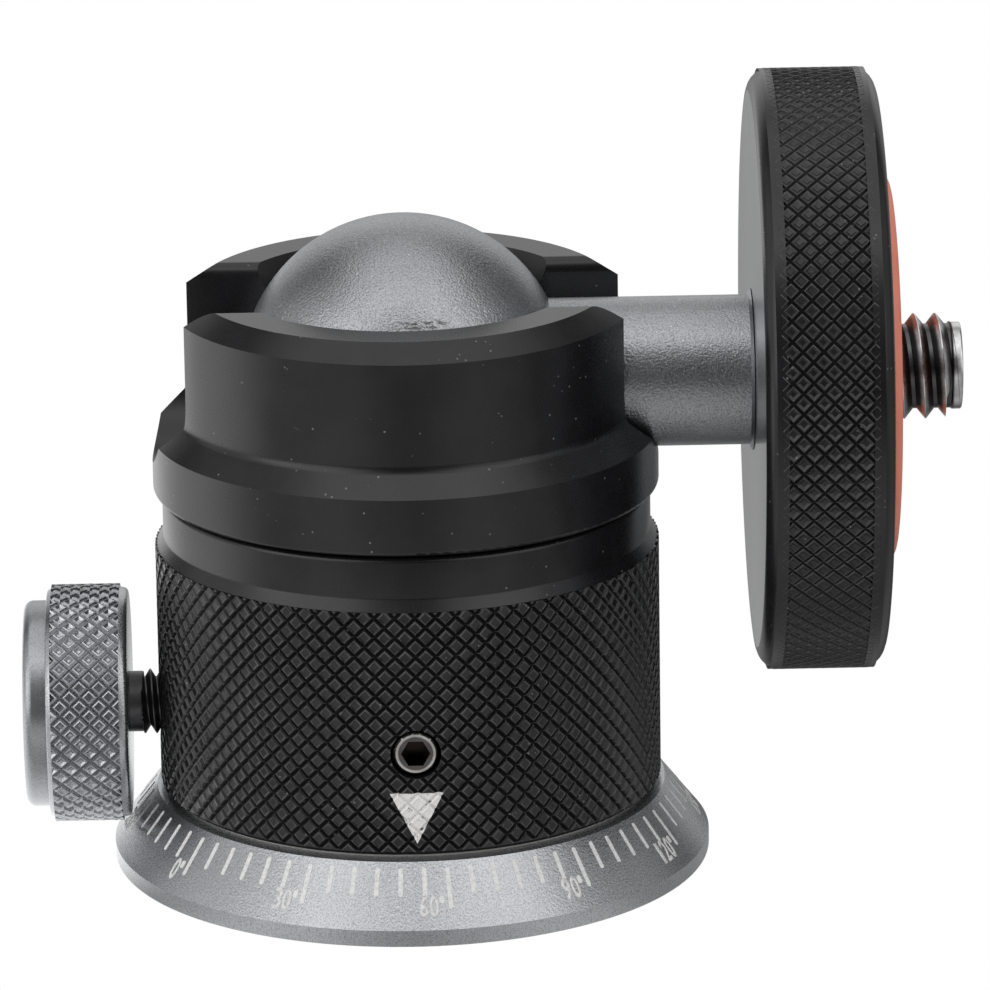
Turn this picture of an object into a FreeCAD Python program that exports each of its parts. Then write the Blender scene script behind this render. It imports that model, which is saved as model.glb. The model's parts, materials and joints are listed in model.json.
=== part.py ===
import FreeCAD, Part
import math
import os

V = FreeCAD.Vector

# Sizes in millimetres. The origin is the centre of the base's underside, on the tripod
# screw's axis. +Z is up through the pan axis, and the arm lies along +X at rest.

# Running clearance of the fits
RUN = 0.05

# Panning base
BASE_R = 18.0
BASE_RIM_H = 1.05
BASE_H = 4.4
BASE_CONE_MARGIN = 0.23
BASE_EDGE = 0.2
UNDERSIDE_RECESS = 0.4
FOOT_RING_W = 2.6
HUB_H = 9.0
HUB_EDGE = 0.4
LOCK_H = 4.9
LOCK_GROOVE_DEPTH = 1.1
GROOVE_HALF_ANGLE = 45.0

# Reducing bush with the tripod thread
BUSH_R = 4.76
BUSH_L = 8.2
TRIPOD_SCREW_R = 3.175
TRIPOD_SCREW_CLEARANCE = 0.025
BUSH_SLOT_W = 1.2
BUSH_SLOT_DEPTH = 1.0
BUSH_EDGE = 0.4

# Pan washers
PAN_WASHER_T = 0.25
PAN_WASHER_W = 3.4
PAN_WASHER_GAP = 0.97
HUB_WASHER_T = 0.5
HUB_WASHER_HOLE_R = 4.5

# Knurled barrel
BARREL_R = 15.12
KNURL_H = 15.02
FLARE_H = 0.7
NECK_STEP = 0.5
NECK_H = 2.49
LOWER_WALL = 5.07
UPPER_WALL = 1.67
BARREL_FOOT_EDGE = 0.25
BARREL_MOUTH_EDGE = 0.3
BARREL_FLOOR_T = 2.6
FLOOR_HOLE_R = 3.5

# Casing with its two jaws
SEAM_GAP = 0.25
SKIRT_L = 5.9
SKIRT_EDGE = 0.4
FLANGE_PROUD = 0.02
FLANGE_H = 3.45
FLANGE_EDGE = 0.3
JAW_STEP = 1.28
JAW_BASE_RISE = 1.41
JAW_FILLET = 0.7
JAW_CHAMFER_W = 1.45
JAW_CHAMFER_H = 1.0
JAW_RISE = 5.66
JAW_MOUTH_R = 10.15
JAW_MOUTH_DEPTH = 2.35
SLOT_CLEARANCE = 0.4
SLOT_EDGE = 0.8
BALL_HEIGHT = 6.59

# Ball, stem and their seat
BALL_R = 9.75
BALL_CLEARANCE = 0.05
BORE_CLEARANCE = 0.1
STEM_R = 4.48
STEM_REACH = 20.76
STEM_LIP_R = 4.85
STEM_LIP_T = 0.22
SEAT_DROP = 5.15
SEAT_HOLE_R = 4.2
THRUST_WASHER_T = 0.6
THRUST_WASHER_HOLE_R = 5.0
SPRING_H = 1.2
SPRING_T = 0.5
SPRING_HOLE_R = 5.4

# Seam ring
RING_SECTION_R = 0.45
RING_DROP = 1.0

# Platform
DISC_R = 18.0
DISC_T = 7.5
DISC_EDGE = 1.35
PAD_R = 11.6
PAD_PROUD = 0.8
PAD_RECESS = 1.0
PAD_EDGE = 0.65
STUD_CREST_R = 3.15
STUD_SHANK_R = 2.7
STUD_PITCH = 1.27
STUD_DEPTH = 0.72
STUD_PROUD = 4.2
STUD_EDGE = 0.75
STUD_FLANGE_R = 5.2
STUD_FLANGE_T = 1.3
STUD_WASHER_T = 0.6
STUD_INNER_L = 12.5
STUD_HOLE_GAP = 0.8

# Pan lock
SCREW_CREST_R = 1.95
SCREW_PITCH = 0.7
SCREW_DEPTH = 0.4
SCREW_COLLAR_R = 1.83
SCREW_COLLAR_L = 0.85
SCREW_SHANK_L = 4.0
GRIP_GAP = 1.76
GRIP_R = 7.15
GRIP_L = 4.87
GRIP_EDGE = 0.3
CAP_R = 6.2
CAP_L = 1.4
CAP_EDGE = 0.55
CAP_SPIGOT_R = 4.0
CAP_SPIGOT_L = 0.8
PAD_SLUG_L = 2.6
PAD_NOSE_R = 0.35
PAD_GAP = 0.2
SLUG_GAP = 0.03

# Knurling. The solids carry diamonds a little over twice as coarse as the real ones, with
# the real depths and the real width of each band.
KNURL_PITCH = 2.7
BARREL_KNURL_DEPTH = 0.2
BARREL_KNURL_MARGIN = 0.28
DISC_KNURL_DEPTH = 0.16
DISC_KNURL_W = 5.65
GRIP_KNURL_DEPTH = 0.36
GRIP_KNURL_MARGIN = 0.4

# Retaining screw, a little off the front as on the real head
GRUB_R = 1.5
GRUB_H = 6.3
GRUB_TURN = 0.8
GRUB_L = 3.4
GRUB_SINK = 0.25
GRUB_CHAMFER = 0.32
GRUB_HEX = 1.5
GRUB_HEX_DEPTH = 1.4
GRUB_TIP_R = 1.35
GRUB_TIP_GAP = 0.1

# Radii and places that follow from the sizes
HUB_R = BARREL_R - LOWER_WALL - RUN
NECK_R = BARREL_R - NECK_STEP
SKIRT_R = NECK_R - UPPER_WALL - RUN
FLANGE_R = BARREL_R + FLANGE_PROUD
JAW_R = FLANGE_R - JAW_STEP
BASE_CONE_R = BARREL_R + BASE_CONE_MARGIN
BARREL_GROOVE_R = BARREL_R - BARREL_KNURL_DEPTH
GRIP_GROOVE_R = GRIP_R - GRIP_KNURL_DEPTH
HUB_TOP_Z = BASE_H + HUB_H
LOCK_Z = BASE_H + PAN_WASHER_T + LOCK_H
GRUB_Z = BASE_H + PAN_WASHER_T + GRUB_H
BARREL_FOOT_Z = BASE_H + PAN_WASHER_T
KNURL_TOP_Z = BARREL_FOOT_Z + KNURL_H
NECK_FOOT_Z = KNURL_TOP_Z + FLARE_H
NECK_TOP_Z = NECK_FOOT_Z + NECK_H
FLOOR_FOOT_Z = HUB_TOP_Z + HUB_WASHER_T
FLOOR_Z = FLOOR_FOOT_Z + BARREL_FLOOR_T
FLANGE_FOOT_Z = NECK_TOP_Z + SEAM_GAP
FLANGE_TOP_Z = FLANGE_FOOT_Z + FLANGE_H
JAW_FOOT_Z = FLANGE_TOP_Z + JAW_BASE_RISE
BALL_Z = FLANGE_FOOT_Z + BALL_HEIGHT
JAW_TOP_Z = BALL_Z + JAW_RISE
CAVITY_R = BALL_R + BALL_CLEARANCE
BORE_R = BALL_R + BORE_CLEARANCE
SLOT_R = STEM_R + SLOT_CLEARANCE
SEAT_FOOT_Z = FLOOR_Z + THRUST_WASHER_T + SPRING_H
SEAT_TOP_Z = BALL_Z - SEAT_DROP
DISC_FRONT_X = STEM_REACH + DISC_T
PAD_FLOOR_X = DISC_FRONT_X - PAD_RECESS
PAD_FACE_X = DISC_FRONT_X + PAD_PROUD
GRIP_X = -(BARREL_R + GRIP_GAP)
CAP_X = GRIP_X - GRIP_L
GROOVE_R = HUB_R - LOCK_GROOVE_DEPTH

EPS = 1e-6


def rounded_face(corners):
    """A flat face in the XZ plane from (radius, height) corners, each with an optional rounding."""
    points = [V(c[0], 0, c[1]) for c in corners]
    stretches = []
    for i, here in enumerate(points):
        rounding = corners[i][2] if len(corners[i]) > 2 else 0
        if rounding < EPS:
            stretches.append((here, None, here))
            continue
        before = (points[i - 1] - here).normalize()
        after = (points[(i + 1) % len(points)] - here).normalize()
        half = before.getAngle(after) / 2
        reach = rounding / math.tan(half)
        middle = here + (before + after).normalize() * (rounding / math.sin(half) - rounding)
        stretches.append((here + before * reach, middle, here + after * reach))
    edges = []
    for i, (start, middle, end) in enumerate(stretches):
        if middle is not None:
            edges.append(Part.Arc(start, middle, end).toShape())
        following = stretches[(i + 1) % len(stretches)][0]
        if (following - end).Length > EPS:
            edges.append(Part.LineSegment(end, following).toShape())
    return Part.Face(Part.Wire(edges))


def turned(corners):
    """A solid turned about Z from its (radius, height) corners."""
    return rounded_face(corners).revolve(V(0, 0, 0), V(0, 0, 1), 360)


def tube(outer, inner, low, high):
    """A plain tube about Z."""
    return turned([(inner, low), (outer, low), (outer, high), (inner, high)])


def along_x(shape, height):
    """Lay a shape that was turned about Z along +X, at a height."""
    laid = shape.copy()
    laid.rotate(V(0, 0, 0), V(0, 1, 0), 90)
    laid.translate(V(0, 0, height))
    return laid


def along_minus_x(shape, height):
    """Lay a shape that was turned about Z along -X, at a height."""
    laid = shape.copy()
    laid.rotate(V(0, 0, 0), V(0, 1, 0), -90)
    laid.translate(V(0, 0, height))
    return laid


def at_front(shape):
    """Lay a shape that was turned about Z along the retaining screw's axis."""
    laid = shape.copy()
    laid.rotate(V(0, 0, 0), V(1, 0, 0), 90)
    laid.rotate(V(0, 0, 0), V(0, 0, 1), GRUB_TURN)
    laid.translate(V(0, 0, GRUB_Z))
    return laid


def thread_corners(crest, depth, pitch, low, high):
    """The outer corners of a threaded stretch, drawn as one V ring to each pitch."""
    corners = []
    land = pitch / 8
    count = int((high - low - land) / pitch)
    start = high - count * pitch
    for i in range(count):
        foot = start + i * pitch
        corners.append((crest, foot))
        corners.append((crest - depth, foot + pitch / 2 - land))
        corners.append((crest - depth, foot + pitch / 2))
        corners.append((crest, foot + pitch - land))
    return corners


def knurl_waste(radius, depth, low, high):
    """The ring of waste round a knurled band. Cutting it away leaves rows of pyramids, each
    row set half a step on from the last."""
    around = round(2 * math.pi * radius / KNURL_PITCH)
    rows = max(1, round((high - low) / KNURL_PITCH))
    step = 2 * math.pi / around
    rise = (high - low) / rows / 2
    groove = radius - depth
    outer = radius + KNURL_PITCH

    def spot(r, column, row):
        angle = (column + row % 2 / 2) * step
        return V(r * math.cos(angle), r * math.sin(angle), low + row * rise)

    def flat(*points):
        return Part.Face(Part.makePolygon([*points, points[0]]))

    faces = []
    for row in range(2 * rows + 1):
        for column in range(around):
            left = spot(groove, column, row)
            right = spot(groove, column + 1, row)
            peak = spot(radius, column + 0.5, row)
            for beyond in (row - 1, row + 1):
                if 0 <= beyond <= 2 * rows:
                    corner = spot(groove, column + row % 2, beyond)
                    faces.append(flat(left, peak, corner))
                    faces.append(flat(peak, right, corner))
    for row in (0, 2 * rows):
        zigzag = []
        rim = []
        for column in range(around):
            zigzag += [spot(groove, column, row), spot(radius, column + 0.5, row)]
            rim.append(spot(outer, column, row))
        edge = Part.makePolygon([*rim, rim[0]])
        hole = Part.makePolygon([zigzag[0], *reversed(zigzag)])
        faces.append(Part.Face([edge, hole]))
    for column in range(around):
        low_left, low_right = spot(outer, column, 0), spot(outer, column + 1, 0)
        high_left, high_right = spot(outer, column, 2 * rows), spot(outer, column + 1, 2 * rows)
        faces.append(flat(low_left, low_right, high_right, high_left))
    return Part.makeSolid(Part.makeShell(faces))


def panning_base():
    """Flared base ring with the scale cone, and the hub that the barrel turns on."""
    groove_half = LOCK_GROOVE_DEPTH / math.tan(math.radians(GROOVE_HALF_ANGLE))
    recess_r = BASE_R - FOOT_RING_W
    profile = [
        (BUSH_R, UNDERSIDE_RECESS),
        (recess_r, UNDERSIDE_RECESS),
        (recess_r, 0),
        (BASE_R, 0, BASE_EDGE),
        (BASE_R, BASE_RIM_H),
        (BASE_CONE_R, BASE_H),
        (HUB_R, BASE_H),
        (HUB_R, LOCK_Z - groove_half),
        (GROOVE_R, LOCK_Z),
        (GROOVE_R, GRUB_Z),
        (HUB_R, GRUB_Z + groove_half),
        (HUB_R, HUB_TOP_Z, HUB_EDGE),
        (0, HUB_TOP_Z),
        (0, BUSH_L),
        (BUSH_R, BUSH_L),
    ]
    return turned(profile)


def thread_bush():
    """Steel bush in the base: its bore takes the tripod's quarter-inch screw."""
    bore = TRIPOD_SCREW_R + TRIPOD_SCREW_CLEARANCE
    body = turned([(bore, 0), (BUSH_R, 0, BUSH_EDGE), (BUSH_R, BUSH_L), (bore, BUSH_L)])
    slot = Part.makeBox(2 * BUSH_R, BUSH_SLOT_W, BUSH_SLOT_DEPTH, V(-BUSH_R, -BUSH_SLOT_W / 2, 0))
    return body.cut(slot)


def pan_washer():
    """Low-friction ring between the base and the barrel's foot."""
    inner = HUB_R + PAN_WASHER_GAP
    return tube(inner + PAN_WASHER_W, inner, BASE_H, BARREL_FOOT_Z)


def hub_washer():
    """Low-friction disc between the hub's top and the barrel's floor."""
    return tube(HUB_R - HUB_EDGE, HUB_WASHER_HOLE_R, HUB_TOP_Z, FLOOR_FOOT_Z)


def knurled_barrel():
    """Grip sleeve: the hub turns in its lower bore, the casing screws into its upper one."""
    lower_bore = HUB_R + RUN
    upper_bore = SKIRT_R + RUN
    plain_r = BARREL_GROOVE_R - RUN
    knurl_foot = BARREL_FOOT_Z + BARREL_KNURL_MARGIN
    body = turned([
        (lower_bore, BARREL_FOOT_Z),
        (plain_r, BARREL_FOOT_Z, BARREL_FOOT_EDGE),
        (plain_r, knurl_foot + RUN),
        (BARREL_R + RUN, knurl_foot + RUN),
        (BARREL_R + RUN, KNURL_TOP_Z - RUN),
        (plain_r, KNURL_TOP_Z - RUN),
        (plain_r, KNURL_TOP_Z),
        (NECK_R, NECK_FOOT_Z),
        (NECK_R, NECK_TOP_Z, BARREL_MOUTH_EDGE),
        (upper_bore, NECK_TOP_Z),
        (upper_bore, FLOOR_Z),
        (FLOOR_HOLE_R, FLOOR_Z),
        (FLOOR_HOLE_R, FLOOR_FOOT_Z),
        (lower_bore, FLOOR_FOOT_Z),
    ])
    reach = BARREL_R + 1
    lock_hole = along_minus_x(Part.makeCylinder(SCREW_CREST_R + RUN, reach), LOCK_Z)
    grub_hole = at_front(Part.makeCylinder(GRUB_R, reach))
    waste = knurl_waste(BARREL_R, BARREL_KNURL_DEPTH, knurl_foot, KNURL_TOP_Z)
    return body.cut(waste).cut(lock_hole).cut(grub_hole)


def slot_tool():
    """The round-bottomed slot that runs through the jaws along X, with its rounded top edges."""
    top = JAW_TOP_Z
    flare = SLOT_R + SLOT_EDGE
    high = top + SLOT_R
    lean = math.cos(math.radians(45)) * SLOT_EDGE
    edges = [
        Part.Arc(V(0, -SLOT_R, BALL_Z), V(0, 0, BALL_Z - SLOT_R), V(0, SLOT_R, BALL_Z)).toShape(),
        Part.LineSegment(V(0, SLOT_R, BALL_Z), V(0, SLOT_R, top - SLOT_EDGE)).toShape(),
        Part.Arc(
            V(0, SLOT_R, top - SLOT_EDGE),
            V(0, flare - lean, top - SLOT_EDGE + lean),
            V(0, flare, top),
        ).toShape(),
        Part.LineSegment(V(0, flare, top), V(0, flare, high)).toShape(),
        Part.LineSegment(V(0, flare, high), V(0, -flare, high)).toShape(),
        Part.LineSegment(V(0, -flare, high), V(0, -flare, top)).toShape(),
        Part.Arc(
            V(0, -flare, top),
            V(0, -flare + lean, top - SLOT_EDGE + lean),
            V(0, -SLOT_R, top - SLOT_EDGE),
        ).toShape(),
        Part.LineSegment(V(0, -SLOT_R, top - SLOT_EDGE), V(0, -SLOT_R, BALL_Z)).toShape(),
    ]
    face = Part.Face(Part.Wire(edges))
    face.translate(V(-2 * FLANGE_R, 0, 0))
    return face.extrude(V(4 * FLANGE_R, 0, 0))


def upper_casing():
    """Casing that holds the ball from above: threaded skirt, flange and two jaws."""
    ring_floor_r = SKIRT_R - 2 * RING_SECTION_R - RUN
    ring_z = FLANGE_FOOT_Z - RING_DROP
    ring_half = RING_SECTION_R + RUN
    mouth_z = JAW_TOP_Z - JAW_MOUTH_DEPTH
    outside = turned([
        (0, FLANGE_FOOT_Z - SKIRT_L),
        (SKIRT_R, FLANGE_FOOT_Z - SKIRT_L, SKIRT_EDGE),
        (SKIRT_R, ring_z - ring_half),
        (ring_floor_r, ring_z - ring_half),
        (ring_floor_r, ring_z + ring_half),
        (SKIRT_R, ring_z + ring_half),
        (SKIRT_R, FLANGE_FOOT_Z),
        (FLANGE_R, FLANGE_FOOT_Z, FLANGE_EDGE),
        (FLANGE_R, FLANGE_TOP_Z),
        (JAW_R, JAW_FOOT_Z, JAW_FILLET),
        (JAW_R, JAW_TOP_Z - JAW_CHAMFER_H),
        (JAW_R - JAW_CHAMFER_W, JAW_TOP_Z),
        (0, JAW_TOP_Z),
    ])
    bore = Part.makeCylinder(BORE_R, BALL_Z + BORE_CLEARANCE, V(0, 0, 0))
    cavity = Part.makeSphere(CAVITY_R, V(0, 0, BALL_Z))
    cavity_r_at_mouth = math.sqrt(CAVITY_R ** 2 - (mouth_z - BALL_Z) ** 2)
    mouth = turned([
        (0, mouth_z),
        (cavity_r_at_mouth, mouth_z),
        (JAW_MOUTH_R, JAW_TOP_Z),
        (0, JAW_TOP_Z),
    ])
    return outside.cut(bore).cut(cavity).cut(mouth).cut(slot_tool())


def seam_ring():
    """Rubber ring in the skirt's groove, which seals the seam and steadies the barrel."""
    ring = Part.makeTorus(SKIRT_R - RING_SECTION_R, RING_SECTION_R)
    ring.translate(V(0, 0, FLANGE_FOOT_Z - RING_DROP))
    return ring


def thrust_washer():
    """Flat washer on the barrel's floor."""
    return tube(BORE_R - BORE_CLEARANCE, THRUST_WASHER_HOLE_R, FLOOR_Z, FLOOR_Z + THRUST_WASHER_T)


def seat_spring():
    """Coned spring washer that presses the seat against the ball."""
    foot = FLOOR_Z + THRUST_WASHER_T
    outer = BORE_R - 4 * BORE_CLEARANCE
    return turned([
        (SPRING_HOLE_R, foot + SPRING_H - SPRING_T),
        (outer, foot),
        (outer, foot + SPRING_T),
        (SPRING_HOLE_R, foot + SPRING_H),
    ])


def ball_seat():
    """Cup under the ball."""
    outer = BORE_R - BORE_CLEARANCE
    cup = tube(outer, SEAT_HOLE_R, SEAT_FOOT_Z, SEAT_TOP_Z)
    relief = turned([
        (0, SEAT_FOOT_Z),
        (SPRING_HOLE_R, SEAT_FOOT_Z),
        (SEAT_HOLE_R, SEAT_FOOT_Z + SPRING_HOLE_R - SEAT_HOLE_R),
        (0, SEAT_FOOT_Z + SPRING_HOLE_R - SEAT_HOLE_R),
    ])
    return cup.cut(relief).cut(Part.makeSphere(CAVITY_R + BORE_CLEARANCE, V(0, 0, BALL_Z)))


def ball_stem():
    """Ball with its stem, which ends at the platform and is bored for the stud."""
    hole_l = STUD_INNER_L - DISC_T + PAD_RECESS + STUD_FLANGE_T + STUD_WASHER_T + STUD_HOLE_GAP
    stem = turned([
        (0, 0),
        (STEM_R, 0),
        (STEM_R, STEM_REACH - STEM_LIP_T),
        (STEM_LIP_R, STEM_REACH - RUN),
        (0, STEM_REACH - RUN),
    ])
    hole = Part.makeCylinder(STUD_SHANK_R + RUN, hole_l, V(0, 0, STEM_REACH - hole_l))
    ball = Part.makeSphere(BALL_R)
    return along_x(ball.fuse(stem).cut(hole).removeSplitter(), BALL_Z)


def platform_disc():
    """Knurled disc that carries the camera pad."""
    washer_x = PAD_FLOOR_X - STUD_FLANGE_T - STUD_WASHER_T
    body = turned([
        (STUD_SHANK_R + RUN, STEM_REACH),
        (DISC_R, STEM_REACH, DISC_EDGE),
        (DISC_R, DISC_FRONT_X, DISC_EDGE),
        (PAD_R, DISC_FRONT_X),
        (PAD_R, PAD_FLOOR_X),
        (STUD_FLANGE_R, PAD_FLOOR_X),
        (STUD_FLANGE_R, washer_x),
        (STUD_SHANK_R + RUN, washer_x),
    ])
    band_x = STEM_REACH + (DISC_T - DISC_KNURL_W) / 2
    waste = knurl_waste(DISC_R - RUN, DISC_KNURL_DEPTH, band_x, band_x + DISC_KNURL_W)
    return along_x(body.cut(waste), BALL_Z)


def platform_pad():
    """Soft pad that grips the camera."""
    body = turned([
        (STUD_CREST_R + 2 * RUN, PAD_FLOOR_X),
        (PAD_R, PAD_FLOOR_X),
        (PAD_R, PAD_FACE_X, PAD_EDGE),
        (STUD_CREST_R + 2 * RUN, PAD_FACE_X),
    ])
    return along_x(body, BALL_Z)


def stud_washer():
    """Locking washer under the stud's flange."""
    high = PAD_FLOOR_X - STUD_FLANGE_T
    return along_x(tube(STUD_FLANGE_R, STUD_SHANK_R + RUN, high - STUD_WASHER_T, high), BALL_Z)


def camera_stud():
    """Camera screw: inner thread in the stem, flange in the disc, outer thread through the pad."""
    foot = PAD_FLOOR_X - STUD_FLANGE_T - STUD_INNER_L + DISC_T
    flange_foot = PAD_FLOOR_X - STUD_FLANGE_T
    tip = PAD_FACE_X + STUD_PROUD
    outline = [(0, foot), (STUD_SHANK_R - STUD_EDGE, foot), (STUD_SHANK_R, foot + STUD_EDGE)]
    outline += [(STUD_SHANK_R, flange_foot), (STUD_FLANGE_R, flange_foot)]
    outline += [(STUD_FLANGE_R, PAD_FLOOR_X), (STUD_SHANK_R, PAD_FLOOR_X)]
    outline += [(STUD_SHANK_R, PAD_FACE_X - STUD_PITCH / 2)]
    outline += thread_corners(STUD_CREST_R, STUD_DEPTH, STUD_PITCH, PAD_FACE_X - STUD_PITCH / 2, tip - STUD_EDGE)
    outline += [(STUD_CREST_R, tip - STUD_EDGE), (STUD_CREST_R - STUD_EDGE, tip), (0, tip)]
    return along_x(turned(outline), BALL_Z)


def brake_slug():
    """Brass slug in the lock hole, whose cone bears in the hub's groove."""
    tip = GROOVE_R + PAD_NOSE_R + PAD_GAP
    slug_r = SCREW_CREST_R - RUN
    body = turned([
        (0, tip),
        (PAD_NOSE_R, tip),
        (slug_r, tip + slug_r - PAD_NOSE_R),
        (slug_r, tip + PAD_SLUG_L),
        (0, tip + PAD_SLUG_L),
    ])
    return along_minus_x(body, LOCK_Z)


def lock_screw():
    """Lock screw: thread in the barrel, plain collar, and a shank that is pressed into the grip."""
    start = GROOVE_R + PAD_NOSE_R + PAD_GAP + PAD_SLUG_L + SLUG_GAP
    collar = -GRIP_X - SCREW_COLLAR_L
    outline = [(0, start)]
    outline += [(SCREW_CREST_R - SCREW_DEPTH, start), (SCREW_CREST_R - SCREW_DEPTH, start + SCREW_DEPTH)]
    outline += thread_corners(SCREW_CREST_R, SCREW_DEPTH, SCREW_PITCH, start + SCREW_DEPTH, collar)
    outline += [(SCREW_COLLAR_R, collar), (SCREW_COLLAR_R, -GRIP_X + SCREW_SHANK_L)]
    outline += [(0, -GRIP_X + SCREW_SHANK_L)]
    return along_minus_x(turned(outline), LOCK_Z)


def lock_grip():
    """Knurled grip of the pan lock."""
    cap_floor = -CAP_X - CAP_SPIGOT_L
    plain_r = GRIP_GROOVE_R - RUN
    low, high = -GRIP_X + GRIP_KNURL_MARGIN, -CAP_X - GRIP_KNURL_MARGIN
    body = turned([
        (SCREW_COLLAR_R, -GRIP_X),
        (plain_r, -GRIP_X, GRIP_EDGE),
        (plain_r, low + RUN),
        (GRIP_R + RUN, low + RUN),
        (GRIP_R + RUN, high - RUN),
        (plain_r, high - RUN),
        (plain_r, -CAP_X),
        (CAP_SPIGOT_R, -CAP_X),
        (CAP_SPIGOT_R, cap_floor),
        (SCREW_COLLAR_R, cap_floor),
    ])
    body = body.cut(knurl_waste(GRIP_R, GRIP_KNURL_DEPTH, low, high))
    return along_minus_x(body, LOCK_Z)


def grip_cap():
    """Smooth cap on the grip's outer end."""
    body = turned([
        (0, -CAP_X - CAP_SPIGOT_L),
        (CAP_SPIGOT_R, -CAP_X - CAP_SPIGOT_L),
        (CAP_SPIGOT_R, -CAP_X),
        (CAP_R, -CAP_X),
        (CAP_R, -CAP_X + CAP_L, CAP_EDGE),
        (0, -CAP_X + CAP_L),
    ])
    return along_minus_x(body, LOCK_Z)


def retaining_screw():
    """Socket grub screw in the barrel's front, which keeps the barrel on the hub."""
    outer = BARREL_R - GRUB_SINK
    inner = outer - GRUB_L
    body = turned([
        (0, inner),
        (GRUB_R, inner),
        (GRUB_R, outer - GRUB_CHAMFER),
        (GRUB_R - GRUB_CHAMFER, outer),
        (0, outer),
    ])
    corner_r = GRUB_HEX / 2 / math.cos(math.radians(30))
    corners = []
    for i in range(7):
        angle = math.radians(60 * i)
        corners.append(V(corner_r * math.cos(angle), corner_r * math.sin(angle), outer - GRUB_HEX_DEPTH))
    socket = Part.Face(Part.makePolygon(corners)).extrude(V(0, 0, GRUB_HEX_DEPTH))
    return at_front(body.cut(socket))


def retaining_tip():
    """Nylon nose ahead of the grub screw, which runs in the hub's groove."""
    tip = GROOVE_R + PAD_NOSE_R + GRUB_TIP_GAP
    back = BARREL_R - GRUB_SINK - GRUB_L
    body = turned([
        (0, tip),
        (PAD_NOSE_R, tip),
        (GRUB_TIP_R, tip + GRUB_TIP_R - PAD_NOSE_R),
        (GRUB_TIP_R, back),
        (0, back),
    ])
    return at_front(body)


NODES = {
    "panning_base": panning_base,
    "thread_bush": thread_bush,
    "pan_washer": pan_washer,
    "hub_washer": hub_washer,
    "knurled_barrel": knurled_barrel,
    "retaining_screw": retaining_screw,
    "retaining_tip": retaining_tip,
    "thrust_washer": thrust_washer,
    "seat_spring": seat_spring,
    "ball_seat": ball_seat,
    "seam_ring": seam_ring,
    "upper_casing": upper_casing,
    "ball_stem": ball_stem,
    "platform_disc": platform_disc,
    "platform_pad": platform_pad,
    "stud_washer": stud_washer,
    "camera_stud": camera_stud,
    "brake_slug": brake_slug,
    "lock_screw": lock_screw,
    "lock_grip": lock_grip,
    "grip_cap": grip_cap,
}

os.makedirs("parts", exist_ok=True)
for node, make in NODES.items():
    shape = make()
    if not shape.isValid() or not shape.Solids:
        raise RuntimeError(node + " is not a sound solid")
    shape.exportStep("parts/" + node + ".step")
    box = shape.BoundBox
    print(
        f"{node:16s} {len(shape.Solids)} solid {shape.Volume:9.2f} mm3"
        f"  x {box.XMin:7.2f} {box.XMax:6.2f}  y {box.YMin:7.2f} {box.YMax:6.2f}"
        f"  z {box.ZMin:6.2f} {box.ZMax:6.2f}"
    )
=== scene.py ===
import json
import math

import bpy
from mathutils import Matrix, Vector

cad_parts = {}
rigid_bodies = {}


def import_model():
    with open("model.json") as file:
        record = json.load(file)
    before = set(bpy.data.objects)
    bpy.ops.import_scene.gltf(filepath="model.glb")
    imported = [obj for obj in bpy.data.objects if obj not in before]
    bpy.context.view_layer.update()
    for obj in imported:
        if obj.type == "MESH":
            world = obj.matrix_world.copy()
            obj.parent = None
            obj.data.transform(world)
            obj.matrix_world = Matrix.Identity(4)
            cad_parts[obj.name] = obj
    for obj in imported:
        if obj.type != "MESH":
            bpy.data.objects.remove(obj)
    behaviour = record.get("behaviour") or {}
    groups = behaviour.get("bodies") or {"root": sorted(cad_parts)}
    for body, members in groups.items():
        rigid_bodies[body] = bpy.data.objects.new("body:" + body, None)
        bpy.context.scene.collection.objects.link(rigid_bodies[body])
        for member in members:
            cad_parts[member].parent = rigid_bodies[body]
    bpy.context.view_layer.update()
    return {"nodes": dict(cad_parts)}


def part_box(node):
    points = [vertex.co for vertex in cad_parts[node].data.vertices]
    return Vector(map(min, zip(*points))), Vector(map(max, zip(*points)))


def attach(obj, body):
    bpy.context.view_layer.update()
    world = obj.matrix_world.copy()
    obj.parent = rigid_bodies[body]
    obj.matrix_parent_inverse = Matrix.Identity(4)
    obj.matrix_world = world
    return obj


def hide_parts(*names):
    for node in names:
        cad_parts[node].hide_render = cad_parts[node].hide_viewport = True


bl_info = {
    "name": "Ball Head Finishes",
    "version": (1, 0, 0),
    "blender": (4, 5, 0),
    "location": "View3D > Sidebar > Ball Head",
    "description": "Knurls, threads, dial scale, finishes and studio for a tripod ball head",
    "category": "Object",
}

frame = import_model()

MM = 0.001
PIXELS = 990


def ends(node, axis):
    """Lowest and highest place of a CAD node along an axis, in millimetres."""
    low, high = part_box(node)
    return low[axis] / MM, high[axis] / MM


BARREL_LOW, BARREL_TOP = ends("knurled_barrel", 2)
BARREL_R = ends("knurled_barrel", 0)[1]
DISC_BACK, DISC_FRONT = ends("platform_disc", 0)
DISC_R = (ends("platform_disc", 2)[1] - ends("platform_disc", 2)[0]) / 2
ARM_Z = sum(ends("platform_disc", 2)) / 2
STUD_FOOT, STUD_TIP = ends("camera_stud", 0)
GRIP_OUT, GRIP_IN = ends("lock_grip", 0)
GRIP_R = (ends("lock_grip", 2)[1] - ends("lock_grip", 2)[0]) / 2
KNOB_Z = sum(ends("lock_grip", 2)) / 2
SCREW_OUT, SCREW_IN = ends("lock_screw", 0)
GRUB_LOW, GRUB_HIGH = ends("retaining_screw", 2)
GRUB_Z = (GRUB_LOW + GRUB_HIGH) / 2
GRUB_R = (GRUB_HIGH - GRUB_LOW) / 2
GRUB_TURN = math.radians(0.8)
GRUB_FACE = BARREL_R - 0.25

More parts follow.
